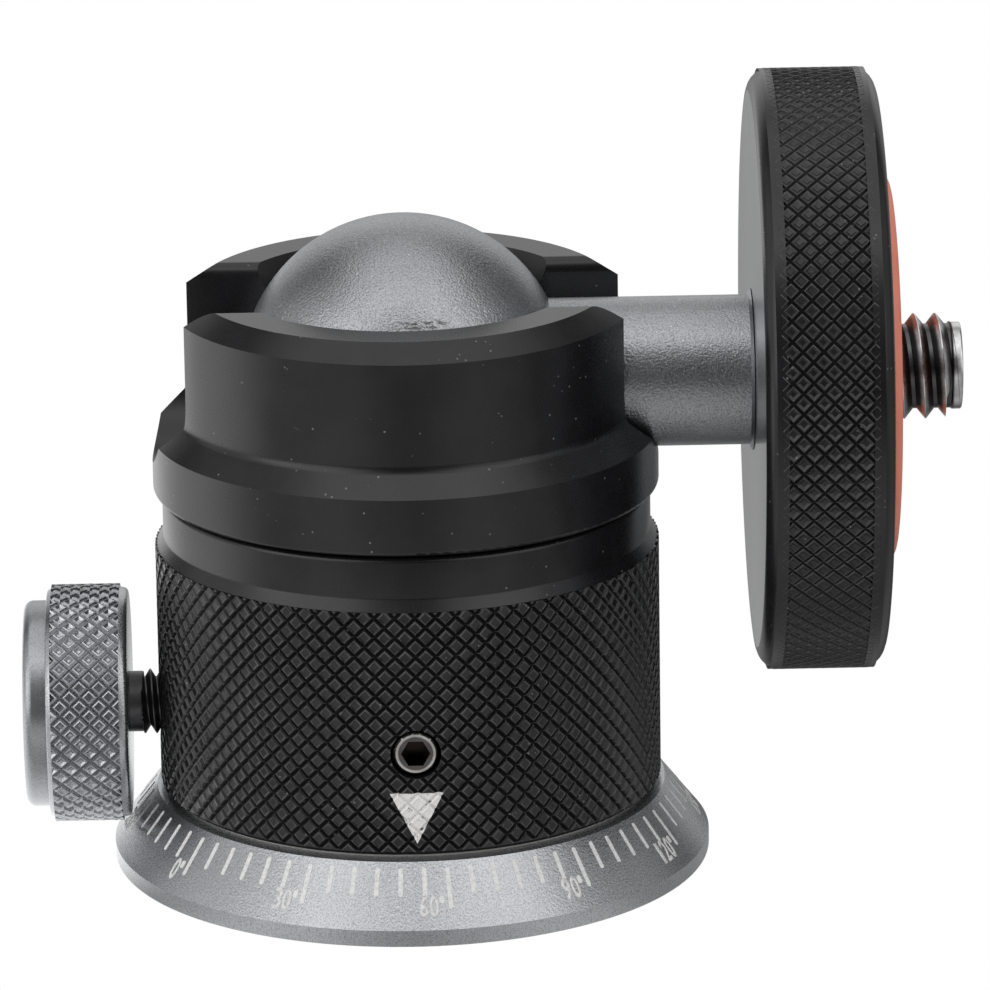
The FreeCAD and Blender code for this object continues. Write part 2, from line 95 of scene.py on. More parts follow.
# Where the ball is scuffed dark and scratched bright, in millimetres
WEAR_DARK = (1.16, -7.66, 35.08)
WEAR_BRIGHT = (-7.5, -3.9, 34.4)

# The printed arrow: its two slanted edges as (x share, z share, offset), and its top
ARROW_LEFT = (0.893, 0.4513, 2.648)
ARROW_RIGHT = (-0.8914, 0.4527, 2.265)
ARROW_TOP = 8.56

# How far a knurl's diamond reaches into the metal under its groove
DIAMOND_ROOT = 0.12

CAMERA_TARGET = (5.3175, 0, 22.1331)


# Studio light: soft boxes by direction, half angle in degrees and strength, then the floor's
# glow by compass angle and strength
SOFTBOXES = (
    ((0, 0, 1), 45, 1.0),
    ((0, 1, 0.1), 50, 0.68),
    ((0, 0.8, 0.6), 35, 0.15),
    ((-1, 0, 0.3), 40, 0.66),
    ((1, 0, 0.3), 40, 0.38),
    ((-0.3, -0.45, 0.84), 24, 0.6),
    ((0.4, -0.45, 0.8), 28, 0.65),
    ((-0.7, -0.6, 0.4), 35, 1.45),
    ((0.7, -0.6, 0.4), 35, 0.95),
)
FLOOR_LIGHT = ((-90, 0.4), (-150, 0.45), (150, 1.15), (90, 0.33), (30, 0.08), (-30, 0.32))
AMBIENT = 0.02
SEEN_FLOOR = 1.02


class BallHeadSizes(bpy.types.PropertyGroup):
    """Sizes of the details that dress the solids."""

    knurl_pitch: bpy.props.FloatProperty(
        name="Knurl pitch", description="Width and height of one knurled diamond",
        default=1.2 * MM, unit="LENGTH", subtype="DISTANCE", precision=5)
    barrel_knurl_depth: bpy.props.FloatProperty(
        name="Barrel knurl depth", description="Depth of the grooves on the barrel",
        default=0.2 * MM, unit="LENGTH", subtype="DISTANCE", precision=5)
    disc_knurl_depth: bpy.props.FloatProperty(
        name="Platform knurl depth", description="Depth of the grooves on the platform's rim",
        default=0.15 * MM, unit="LENGTH", subtype="DISTANCE", precision=5)
    disc_band: bpy.props.FloatProperty(
        name="Platform knurl width", description="Width of the knurled band on the platform's rim",
        default=5.65 * MM, unit="LENGTH", subtype="DISTANCE", precision=5)
    grip_knurl_depth: bpy.props.FloatProperty(
        name="Knob knurl depth", description="Depth of the grooves on the lock knob",
        default=0.25 * MM, unit="LENGTH", subtype="DISTANCE", precision=5)
    stud_pitch: bpy.props.FloatProperty(
        name="Stud pitch", description="Pitch of the quarter-inch camera thread",
        default=1.27 * MM, unit="LENGTH", subtype="DISTANCE", precision=5)
    screw_pitch: bpy.props.FloatProperty(
        name="Lock screw pitch", description="Pitch of the lock screw's thread",
        default=0.7 * MM, unit="LENGTH", subtype="DISTANCE", precision=5)
    divisions: bpy.props.IntProperty(
        name="Dial divisions", description="Marks round the dial", default=72, min=12)
    zero_angle: bpy.props.FloatProperty(
        name="Dial zero", description="Where the dial's zero mark stands",
        default=math.radians(-142.9), unit="ROTATION", subtype="ANGLE")
    mark_width: bpy.props.FloatProperty(
        name="Mark width", description="Width of one mark on the dial",
        default=0.27 * MM, unit="LENGTH", subtype="DISTANCE", precision=5)
    camera_distance: bpy.props.FloatProperty(
        name="Camera distance", description="From the camera to the point it looks at",
        default=485.49 * MM, unit="LENGTH", subtype="DISTANCE")
    camera_rise: bpy.props.FloatProperty(
        name="Camera rise", description="The camera's angle above the horizon",
        default=math.radians(17.1721), unit="ROTATION", subtype="ANGLE")
    camera_swing: bpy.props.FloatProperty(
        name="Camera swing", description="The camera's turn about the upright axis",
        default=math.radians(-0.9271), unit="ROTATION", subtype="ANGLE")
    camera_roll: bpy.props.FloatProperty(
        name="Camera roll", description="The camera's turn about its own line of sight",
        default=math.radians(-0.8330), unit="ROTATION", subtype="ANGLE")
    camera_reach: bpy.props.FloatProperty(
        name="Focal length in pixels", description="Focal length over the width of one pixel",
        default=8095.9)


def colour(name, description, rgb):
    """A colour property with its default."""
    return bpy.props.FloatVectorProperty(
        name=name, description=description, subtype="COLOR", size=3, min=0, max=1, default=rgb)


class BallHeadColours(bpy.types.PropertyGroup):
    """Colours of the finishes."""

    black: colour("Black anodising", "Barrel, casing and platform", (0.0105, 0.0105, 0.0118))
    gunmetal: colour("Gunmetal anodising", "Ball, stem, base and knob", (0.4, 0.41, 0.425))
    red: colour("Red rubber", "Camera pad", (1.0, 0.3, 0.21))
    steel: colour("Bright steel", "Retaining screw, bush and washers", (0.58, 0.57, 0.55))
    stud: colour("Stud steel", "Camera stud", (0.78, 0.78, 0.79))
    blackened: colour("Blackened steel", "Lock screw", (0.13, 0.13, 0.135))
    ink: colour("Printed marks", "Dial scale and the arrow on the barrel", (0.9, 0.89, 0.88))
    nylon: colour("White nylon", "Washers and the screw's nose", (0.75, 0.74, 0.7))
    seat: colour("Dark plastic", "Ball seat", (0.03, 0.03, 0.03))
    rubber: colour("Black rubber", "Seam ring", (0.015, 0.015, 0.015))
    brass: colour("Brass", "Brake slug", (0.65, 0.45, 0.18))
    backdrop: colour("Backdrop", "Floor and background", (0.98, 0.98, 0.98))


# Shader arithmetic


class Value:
    """A shader socket that takes part in ordinary arithmetic."""

    def __init__(self, tree, socket):
        self.tree = tree
        self.socket = socket

    def maths(self, operation, *items):
        node = self.tree.nodes.new("ShaderNodeMath")
        node.operation = operation
        for place, item in zip(node.inputs, items):
            if isinstance(item, Value):
                self.tree.links.new(item.socket, place)
            else:
                place.default_value = item
        return Value(self.tree, node.outputs[0])

    def __add__(self, other):
        return self.maths("ADD", self, other)

    __radd__ = __add__

    def __mul__(self, other):
        return self.maths("MULTIPLY", self, other)

    __rmul__ = __mul__

    def __sub__(self, other):
        return self.maths("SUBTRACT", self, other)

    def __rsub__(self, other):
        return self.maths("SUBTRACT", other, self)

    def __truediv__(self, other):
        return self.maths("DIVIDE", self, other)

    def lesser(self, other):
        return self.maths("MINIMUM", self, other)

    def greater(self, other):
        return self.maths("MAXIMUM", self, other)

    def size(self):
        return self.maths("ABSOLUTE", self)

    def root(self):
        return self.maths("SQRT", self)

    def rise(self, low, high):
        """0 below low, 1 above high, and smooth between them."""
        node = self.tree.nodes.new("ShaderNodeMapRange")
        node.interpolation_type = "SMOOTHSTEP"
        self.tree.links.new(self.socket, node.inputs["Value"])
        node.inputs["From Min"].default_value = low
        node.inputs["From Max"].default_value = high
        return Value(self.tree, node.outputs["Result"])


class Nodes:
    """A node tree that nodes are added to in one way."""

    def __init__(self, tree):
        self.tree = tree
        tree.nodes.clear()

    def add(self, kind, settings=(), inputs=(), out=0):
        node = self.tree.nodes.new(kind)
        for key, value in dict(settings).items():
            setattr(node, key, value)
        for key, value in dict(inputs).items():
            if isinstance(value, Value):
                self.tree.links.new(value.socket, node.inputs[key])
            else:
                node.inputs[key].default_value = value
        return Value(self.tree, node.outputs[out])

    def split(self, vector):
        """The three parts of a vector."""
        node = self.add("ShaderNodeSeparateXYZ", inputs={0: vector}).socket.node
        return [Value(self.tree, socket) for socket in node.outputs]

    def blend(self, mask, low, high):
        """Colour low where mask is 0, and colour high where it is 1."""
        node = self.add("ShaderNodeMix", {"data_type": "RGBA"}, {"Factor": mask}).socket.node
        for key, value in ((6, low), (7, high)):
            if isinstance(value, Value):
                self.tree.links.new(value.socket, node.inputs[key])
            else:
                node.inputs[key].default_value = (*value, 1)
        return Value(self.tree, node.outputs[2])


class Finish(Nodes):
    """A material with one Principled shader, whose textures read Object coordinates."""

    def __init__(self, name, roughness=0.4, metallic=0.0, specular=0.5):
        self.material = bpy.data.materials.new(name)
        self.material.use_nodes = True
        super().__init__(self.material.node_tree)
        self.shader = self.add("ShaderNodeBsdfPrincipled").socket.node
        self.shader.inputs["Roughness"].default_value = roughness
        self.shader.inputs["Metallic"].default_value = metallic
        self.shader.inputs["Specular IOR Level"].default_value = specular
        output = self.tree.nodes.new("ShaderNodeOutputMaterial")
        self.tree.links.new(self.shader.outputs[0], output.inputs[0])
        self.place = self.add("ShaderNodeTexCoord", out="Object")

    def noise(self, millimetres, detail=2.0, where=None):
        """Cloudy noise whose blobs are about that many millimetres across."""
        return self.add(
            "ShaderNodeTexNoise", {"noise_dimensions": "3D"},
            {"Vector": where or self.place, "Scale": 1 / (millimetres * MM), "Detail": detail}, "Fac")

    def stretched(self, across, along_axis, times):
        """Noise drawn out along one axis, as tool marks are."""
        scale = [1 / (across * MM)] * 3
        scale["XYZ".index(along_axis)] /= times
        where = self.add("ShaderNodeMapping", inputs={"Vector": self.place, "Scale": scale})
        inputs = {"Vector": where, "Scale": 1.0, "Detail": 2.0}
        return self.add("ShaderNodeTexNoise", inputs=inputs, out="Fac")

    def specks(self, millimetres, share):
        """1 in small scattered dots, which cover about that share of the surface."""
        cells = self.add(
            "ShaderNodeTexVoronoi", {"feature": "F1"},
            {"Vector": self.place, "Scale": 1 / (millimetres * MM)}, "Distance")
        patches = self.noise(millimetres * 3)
        return (1 - cells.rise(0.08, 0.16)) * patches.rise(1 - share - 0.04, 1 - share)

    def off_axis(self, axis, height=0.0):
        """Distance in millimetres from the upright axis, or from an axis along X at a height."""
        x, y, z = self.split(self.place)
        a, b = (x / MM, y / MM) if axis == "Z" else (y / MM, z / MM - height)
        return (a * a + b * b).root()

    def nearness(self, spot, full, none):
        """1 within the first distance of a spot, fading to 0 at the second, all in millimetres."""
        gap = self.add("ShaderNodeVectorMath", {"operation": "DISTANCE"},
                       {0: self.place, 1: Vector(spot) * MM}, "Value")
        return 1 - gap.rise(full * MM, none * MM)

    def paint(self, value):
        self.feed("Base Color", value)

    def feed(self, socket, value):
        self.tree.links.new(value.socket, self.shader.inputs[socket])

    def grain(self, height, strength, depth_mm):
        bump = self.add(
            "ShaderNodeBump", inputs={"Height": height, "Strength": strength, "Distance": depth_mm * MM})
        self.feed("Normal", bump)


def shade(rgb, factor):
    """A colour made lighter or darker."""
    return tuple(min(1.0, c * factor) for c in rgb)


def colours():
    return bpy.context.scene.ball_head_colours


def sizes():
    return bpy.context.scene.ball_head_sizes


def black_anodised(name, arrow=False, bare_faces=False, crest=None):
    """Satin black anodising with a little dust.

    The crest is the knurl's axis and radius, where the anodising is worn lighter on the crests: partly real
    wear and partly a painted highlight on the knurl's edges. The barrel has its printed arrow, and the
    platform two bare grey faces."""
    f = Finish(name, roughness=0.3, specular=0.5)
    black = tuple(colours().black)
    clouds = f.noise(2.5, 3)
    fine = f.noise(0.09, 3)
    skin = f.blend(clouds.rise(0.35, 0.7), shade(black, 0.8), shade(black, 1.25))
    dust = f.specks(0.5, 0.38) * 0.6
    skin = f.blend(dust, skin, (0.3, 0.3, 0.3))
    roughness = 0.22 + fine * 0.08 + clouds * 0.04
    x, y, z = f.split(f.place)
    if crest:
        # Lighter, partly metallic crests of the knurl: real worn anodising, and also a painted highlight on
        # the knurl's edges
        rubbed_and_glint = f.off_axis(*crest[0]).rise(crest[1] - 0.016, crest[1] - 0.003)
        rubbed_and_glint = rubbed_and_glint * f.noise(0.5, 3).rise(0.36, 0.62)
        skin = f.blend(rubbed_and_glint * 0.8, skin, (0.11, 0.11, 0.115))
        bare = rubbed_and_glint * 0.35
        f.feed("Metallic", bare)
    if arrow:
        x, z = x / MM, z / MM
        left, right = (x * a + z * b - c for a, b, c in (ARROW_LEFT, ARROW_RIGHT))
        inside = left.lesser(right).lesser(ARROW_TOP - z)
        inside = inside.rise(-0.015, 0.02) * (1 - y.rise(-0.012, -0.01))
        worn = f.noise(0.35, 3).rise(0.27, 0.4)
        skin = f.blend(inside * worn, skin, tuple(colours().ink))
        roughness = roughness + inside * 0.25
    if bare_faces:
        half = (DISC_FRONT - DISC_BACK) / 2
        outward = (x / MM - (DISC_BACK + DISC_FRONT) / 2).size()
        radius = f.off_axis("X", ARM_Z)
        face = (1 - radius.rise(DISC_R - 1.36, DISC_R - 1.3)) * outward.rise(half - 0.1, half - 0.05)
        sand = f.noise(0.14, 2)
        grey = tuple(colours().gunmetal)
        skin = f.blend(face, skin, f.blend(sand.rise(0.3, 0.7), shade(grey, 0.85), shade(grey, 1.15)))
        f.feed("Metallic", bare.greater(face * 0.92))
        roughness = roughness + face * (sand * 0.12 - 0.18)
        fine = fine + sand * face * 1.5
    f.paint(skin)
    f.feed("Roughness", roughness)
    f.grain(fine, 0.25, 0.006)
    return f.material


def gunmetal(name, worn=0.0, tint=1.0, roughness=0.24, grain=0.15, depth=0.034, lathe=""):
    """Grey blasted and anodised metal: fine sparkle painted into the colour as dark speckles, soft clouds,
    and wear or turning marks if asked.
    """
    f = Finish(name, roughness=0.4, metallic=0.92)
    # tint lightens a copy of the gunmetal; on the base and the grip this lighter colour is painted light
    base = shade(tuple(colours().gunmetal), tint)
    clouds = f.noise(5, 2)
    sand = f.noise(grain, 2)
    # Painted sparkle: dark speckles in the colour stand in for the glints of the blasted grain
    painted_sparkle = f.noise(grain * 0.6, 1)
    skin = f.blend(clouds.rise(0.3, 0.7), shade(base, 0.95), shade(base, 1.04))
    skin = f.blend(painted_sparkle.rise(0.35, 0.55), shade(base, 0.68), skin)
    if worn:
        x, y, z = f.split(f.place)
        band = 1 - (z / MM - WEAR_DARK[2]).size().rise(0.12, 0.3)
        scuffs = f.stretched(0.16, "X", 2.5).rise(0.5, 0.58) * f.nearness(WEAR_DARK, 0.9, 1.7) * band
        streaks = f.stretched(0.14, "Z", 9).rise(0.62, 0.72) * f.nearness(WEAR_DARK, 0.5, 4.0) * 0.4
        skin = f.blend(scuffs.greater(streaks) * worn, skin, (0.07, 0.065, 0.06))
        bright = f.stretched(0.16, "Z", 3).rise(0.6, 0.68) * f.nearness(WEAR_BRIGHT, 0.6, 2.0)
        bright = bright.greater(f.specks(0.45, 0.42) * 0.6)
        skin = f.blend(bright * 0.7, skin, shade(base, 2.2))
    shine = roughness + sand * 0.12 + clouds * 0.04
    height = sand
    if lathe:
        lines = f.stretched(0.6, lathe, 0.07)
        height = height * 0.35 + lines * 0.65
        shine = shine + lines * 0.06
    f.paint(skin)
    f.feed("Roughness", shine)
    f.grain(height, 1.0, depth)
    return f.material


def turned_steel(name, rgb, roughness=0.22, metallic=1.0, axis="Z", crest=None, socket=False):
    """Steel with fine turning marks and faint stains.

    The crest is a thread's axis height and the radii between which it turns from painted shade in the groove
    to the plain steel colour on the crest, with the stud's tip kept out of the painted shade. With a socket,
    painted shade darkens the hex recess and the face inside the rim, so only the screw's rim stays bright."""
    f = Finish(name, roughness=roughness, metallic=metallic)
    marks = f.stretched(0.04, axis, 0.2)
    stains = f.noise(0.8, 3)
    skin = f.blend(stains.rise(0.35, 0.75), shade(rgb, 0.7), shade(rgb, 1.08))
    if crest:
        height, groove, top = crest
        # Painted shade: below the crest radii the thread's grooves and flanks are painted near black, and the
        # crest keeps the steel's colour
        bright = f.off_axis("X", height).rise(groove, top)
        # The stud's tip stays out of the painted shade
        if name.startswith("stud"):
            x, y, z = f.split(f.place)
            bright = bright.greater((x / MM).rise(STUD_TIP - 0.62, STUD_TIP - 0.5))
        skin = f.blend(bright, shade(rgb, 0.13), skin)
    if socket:
        # Painted shade: the hex socket's recess and the screw's face inside its rim are painted near black
        x, y, z = f.split(f.place)
        inside = (y / MM).rise(0.04 - GRUB_FACE, 0.16 - GRUB_FACE)
        aside = x / MM * math.cos(GRUB_TURN) + y / MM * math.sin(GRUB_TURN)
        above = z / MM - GRUB_Z
        radius = (aside * aside + above * above).root()
        inside = inside.greater((1 - radius.rise(GRUB_R - 0.5, GRUB_R - 0.42)) * 0.8)
        skin = f.blend(inside, skin, (0.03, 0.022, 0.018))
    f.paint(skin)
    f.feed("Roughness", roughness + stains * 0.12 + marks * 0.05)
    f.grain(marks, 0.2, 0.004)
    return f.material


def red_rubber(name):
    """Soft red rubber with a fine matt skin."""
    f = Finish(name, roughness=0.55, specular=0.4)
    red = tuple(colours().red)
    fine = f.noise(0.12, 3)
    clouds = f.noise(3, 2)
    f.paint(f.blend(clouds, shade(red, 0.86), shade(red, 1.15)))
    f.feed("Roughness", 0.5 + fine * 0.16)
    f.grain(fine, 0.35, 0.02)
    return f.material


def moulded(name, rgb, roughness=0.5):
    """Moulded plastic or rubber with a faint mould texture."""
    f = Finish(name, roughness=roughness, specular=0.45)
    fine = f.noise(0.15, 2)
    f.paint(f.blend(f.noise(2, 2), shade(rgb, 0.88), shade(rgb, 1.08)))
    f.feed("Roughness", roughness - 0.06 + fine * 0.12)
    f.grain(fine, 0.3, 0.01)
    return f.material


def printed(name):
    """Pale ink of the dial's marks, thin in places."""
    f = Finish(name, roughness=0.6)
    ink = tuple(colours().ink)
    thin = f.noise(0.16, 3).rise(0.3, 0.62)
    f.paint(f.blend(thin, shade(ink, 0.8), ink))
    f.feed("Roughness", 0.55 + thin * 0.1)
    f.grain(thin, 0.3, 0.008)
    return f.material


# Modelling helpers


def clear_selection():
    if bpy.context.object and bpy.context.object.mode != "OBJECT":
        bpy.ops.object.mode_set(mode="OBJECT")
    bpy.ops.object.select_all(action="DESELECT")


def pick(*objects):
    """Select these objects alone, the first one active."""
    clear_selection()
    for item in objects:
        item.select_set(True)
    bpy.context.view_layer.objects.active = objects[0]
    return objects[0]


def edit(obj, mode="VERT"):
    """Go into edit mode on one object with everything selected."""
    pick(obj)
    bpy.ops.object.mode_set(mode="EDIT")
    bpy.ops.mesh.select_mode(type=mode)
    bpy.ops.mesh.select_all(action="SELECT")


def leave_edit():
    bpy.ops.object.mode_set(mode="OBJECT")


def modifier(obj, kind, **settings):
    """Add a modifier, set it and apply it."""
    pick(obj)
    added = obj.modifiers.new(kind.title(), kind)
    for key, value in settings.items():
        setattr(added, key, value)
    bpy.ops.object.modifier_apply(modifier=added.name)


def settle(obj):
    """Put an object's turn, place and size into its mesh."""
    pick(obj)
    bpy.ops.object.transform_apply(location=True, rotation=True, scale=True)


def joined(*objects):
    """Join objects into the first one."""
    pick(*objects)
    bpy.ops.object.join()
    return objects[0]


def smoothed(obj, degrees=32):
    pick(obj)
    bpy.ops.object.shade_smooth_by_angle(angle=math.radians(degrees))


def rounded(corners, steps=4):
    """Profile points in millimetres from (radius, height, rounding) corners of a closed outline."""
    points = []
    for i, corner in enumerate(corners):
        here = Vector(corner[:2])
        rounding = corner[2] if len(corner) > 2 else 0
        if not rounding:
            points.append(here)
            continue
        before = (Vector(corners[i - 1][:2]) - here).normalized()
        after = (Vector(corners[(i + 1) % len(corners)][:2]) - here).normalized()
        half = before.angle(after) / 2
        centre = here + (before + after).normalized() * (rounding / math.sin(half))
        start = here + before * (rounding / math.tan(half)) - centre
        end = here + after * (rounding / math.tan(half)) - centre
        for k in range(steps + 1):
            points.append(centre + start.slerp(end, k / steps, start) * rounding)
    return points


def turned(name, corners, around=160, steps=4):
    """A solid turned about Z from a closed outline: a ring, drawn out and scaled from point to point."""
    points = rounded(corners, steps)
    clear_selection()
    bpy.ops.mesh.primitive_circle_add(
        vertices=around, radius=points[0][0] * MM, location=(0, 0, points[0][1] * MM))
    obj = bpy.context.object
    obj.name = name
    settle(obj)
    edit(obj)
    before = points[0]
    for point in points[1:] + points[:1]:
        bpy.ops.mesh.extrude_region_move(
            TRANSFORM_OT_translate={"value": (0, 0, (point[1] - before[1]) * MM)})
        ratio = point[0] / before[0]
        bpy.ops.transform.resize(value=(ratio, ratio, 1), center_override=(0, 0, point[1] * MM))
        before = point
    bpy.ops.mesh.select_all(action="SELECT")
    bpy.ops.mesh.remove_doubles(threshold=1e-7)
    bpy.ops.mesh.normals_make_consistent(inside=False)
    leave_edit()
    return obj


def diamonds(name, radius, steps, low, high, around, pitch):
    """Knurled diamonds round a cylinder about Z: one pair is modelled, and copied round and up.

    The steps are the insets that shape a diamond, each a width and a rise in millimetres."""
    depth = max(sum(rise for width, rise in steps[:k + 1]) for k in range(len(steps)))
    wide = 2 * math.pi * (radius - depth) / around
    clear_selection()
    bpy.ops.mesh.primitive_circle_add(vertices=4, radius=0.5, fill_type="NGON")
    obj = bpy.context.object
    obj.name = name
    obj.scale = (wide * MM, pitch * MM, 1)
    settle(obj)
    edit(obj, "FACE")
    bpy.ops.mesh.extrude_region_move(TRANSFORM_OT_translate={"value": (0, 0, DIAMOND_ROOT * MM)})
    for width, rise in steps:
        bpy.ops.mesh.inset(thickness=width * MM, depth=rise * MM)
    bpy.ops.mesh.select_all(action="SELECT")
    bpy.ops.mesh.normals_make_consistent(inside=False)
    leave_edit()
    obj.matrix_world = Matrix((
        (0, 0, 1, (radius - depth - DIAMOND_ROOT) * MM), (1, 0, 0, 0), (0, 1, 0, low * MM), (0, 0, 0, 1)))
    settle(obj)
    edit(obj)
    step = 2 * math.pi / around
    bpy.ops.mesh.duplicate_move(TRANSFORM_OT_translate={"value": (0, 0, pitch / 2 * MM)})
    bpy.ops.transform.rotate(value=step / 2, orient_axis="Z", center_override=(0, 0, 0))
    leave_edit()
    turn = bpy.data.objects.new(name + "_turn", None)
    bpy.context.collection.objects.link(turn)
    turn.rotation_euler = (0, 0, step)
    bpy.context.view_layer.update()
    modifier(obj, "ARRAY", count=around, use_relative_offset=False,
             use_object_offset=True, offset_object=turn)
    bpy.data.objects.remove(turn)
    rows = math.ceil((high - low) / pitch) + 1
    modifier(obj, "ARRAY", count=rows, use_relative_offset=False, use_constant_offset=True,
             constant_offset_displace=(0, 0, pitch * MM))
    for height, facing in ((low, -1), (high, 1)):
        edit(obj)
        bpy.ops.mesh.bisect(
            plane_co=(0, 0, height * MM), plane_no=(0, 0, facing), use_fill=True, clear_outer=True)
        leave_edit()
    return obj


def cut(obj, tool, keep_tool=False, operation="DIFFERENCE"):
    modifier(obj, "BOOLEAN", object=tool, operation=operation, solver="EXACT")
    if not keep_tool:
        bpy.data.objects.remove(tool)


def cut_each(obj, tools):
    """Cut every loose piece of a mesh by itself, and join what is left of them."""
    edit(obj)
    bpy.ops.mesh.separate(type="LOOSE")
    leave_edit()
    left = []
    for piece in list(bpy.context.selected_objects):
        for tool in tools:
            cut(piece, tool, keep_tool=True)
        if piece.data.polygons:
            left.append(piece)
        else:
            bpy.data.objects.remove(piece)
    return joined(*left)


def split_near(obj, inside):
    """The loose pieces of a mesh that have a vertex where inside says so, as their own object."""
    edit(obj)
    bpy.ops.mesh.select_all(action="DESELECT")
    leave_edit()
    for vertex in obj.data.vertices:
        vertex.select = inside(vertex.co / MM)
    bpy.ops.object.mode_set(mode="EDIT")
    bpy.ops.mesh.select_linked()
    bpy.ops.mesh.separate(type="SELECTED")
    leave_edit()
    return next(o for o in bpy.context.selected_objects if o is not obj)


def lay(obj, side, height):
    """Lay a piece that stands on Z along +X or -X, at a height in millimetres."""
    obj.rotation_euler = (0, side * math.pi / 2, 0)
    obj.location = (0, 0, height * MM)
    settle(obj)


def thread(name, crest, root, pitch, low, high, around=64, flat=0.05):
    """A right-hand screw thread about Z: one V is drawn, wound up with a screw, and cut to length."""
    clear_selection()
    bpy.ops.mesh.primitive_plane_add(size=MM)
    obj = bpy.context.object
    obj.name = name
    edit(obj)
    bpy.ops.mesh.merge(type="CENTER")
    land = pitch * flat
    path = [(crest, 0), (crest, land), (root, pitch / 2), (root, pitch / 2 + land), (crest, pitch)]
    start = low - pitch
    bpy.ops.transform.translate(value=(path[0][0] * MM, 0, start * MM))
    for before, after in zip(path, path[1:]):
        bpy.ops.mesh.extrude_region_move(TRANSFORM_OT_translate={
            "value": ((after[0] - before[0]) * MM, 0, (after[1] - before[1]) * MM)})
    leave_edit()
    turns = math.ceil((high - low) / pitch) + 2
    modifier(obj, "SCREW", axis="Z", angle=2 * math.pi, screw_offset=pitch * MM, steps=around,
             render_steps=around, iterations=turns, use_merge_vertices=True, merge_threshold=1e-7)
    for height, facing in ((low, -1), (high, 1)):
        edit(obj)
        bpy.ops.mesh.bisect(
            plane_co=(0, 0, height * MM), plane_no=(0, 0, facing), use_fill=True, clear_outer=True)
        leave_edit()
    edit(obj)
    bpy.ops.mesh.remove_doubles(threshold=1e-7)
    bpy.ops.mesh.normals_make_consistent(inside=False)
    leave_edit()
    return obj


def dress(obj, name, body, slot, material, *nodes):
    """Name a finished piece, give it its finish, tie it to its body, and hide the CAD nodes it stands for."""
    obj.name = name
    obj.data.name = name
    obj.data.materials.clear()
    obj.data.materials.append(material)
    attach(obj, body)
    if nodes:
        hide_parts(*nodes)


def repaint(node, material):
    """Give a CAD node its finish."""
    slots = frame["nodes"][node].material_slots
    for slot in slots:
        slot.material = material


# The pieces


class BarrelOperator(bpy.types.Operator):
    """Knurled barrel with its screw holes"""

    bl_idname = "ball_head.barrel"
    bl_label = "Knurled barrel"

    KNURL_FOOT, KNURL_TOP = 0.28, 15.02
    LOCK_HOLE_R = 2.0
    HOLE_MIDDLE, HOLE_LENGTH = 14, 9
    GRUB_REACH, LOCK_REACH = 2.0, 2.4

    def execute(self, context):
        s = sizes()
        depth = s.barrel_knurl_depth / MM
        pitch = s.knurl_pitch / MM
        low, high = BARREL_LOW + self.KNURL_FOOT, BARREL_LOW + self.KNURL_TOP
        groove = BARREL_R - depth
        neck, lower_bore, upper_bore, floor_hole = 14.62, 10.05, 12.95, 3.5
        floor_low, floor_high = 13.9, 16.5
        body = turned("barrel_body", [
            (lower_bore, BARREL_LOW), (groove - 0.12, BARREL_LOW, 0.08), (groove + 0.02, BARREL_LOW + 0.2),
            (groove, low), (groove, high - 0.05), (groove + 0.1, high), (neck, high + 0.7, 0.25),
            (neck, BARREL_TOP, 0.3), (upper_bore, BARREL_TOP), (upper_bore, floor_high),
            (floor_hole, floor_high), (floor_hole, floor_low), (lower_bore, floor_low)])
        around = round(2 * math.pi * BARREL_R / pitch)
        steps = ((0.11, depth * 0.8), (0.05, depth * 0.2), (0.1, depth * -0.12))
        skin = diamonds("barrel_skin", BARREL_R, steps, low, high, around, pitch)
        front = Vector((math.sin(GRUB_TURN), -math.cos(GRUB_TURN), 0))

        def near_hole(p):
            grub = Vector((p.dot(Vector((-front.y, front.x, 0))), p.z - GRUB_Z)).length < self.GRUB_REACH
            lock = Vector((p.y, p.z - KNOB_Z)).length < self.LOCK_REACH
            return (grub and p.dot(front) > 0) or (lock and p.x < 0)

        patch = split_near(skin, near_hole)
        holes = []
        middle = self.HOLE_MIDDLE * MM
        for radius, spot, turn in (
            (GRUB_R, front * middle + Vector((0, 0, GRUB_Z * MM)), (math.pi / 2, 0, GRUB_TURN)),
            (self.LOCK_HOLE_R, Vector((-middle, 0, KNOB_Z * MM)), (0, -math.pi / 2, 0)),
        ):
            clear_selection()
            bpy.ops.mesh.primitive_cylinder_add(
                vertices=72, radius=radius * MM, depth=self.HOLE_LENGTH * MM,
                location=spot, rotation=turn)
            holes.append(bpy.context.object)
            settle(holes[-1])
        patch = cut_each(patch, holes)
        for hole in holes:
            cut(body, hole)
        smoothed(body, 40)
        piece = joined(body, skin, patch)
        dress(piece, "barrel_with_knurl", "barrel", "black_aluminium",
              black_anodised("black_anodised_barrel", arrow=True, crest=(("Z",), BARREL_R)),
              "knurled_barrel")
        return {"FINISHED"}


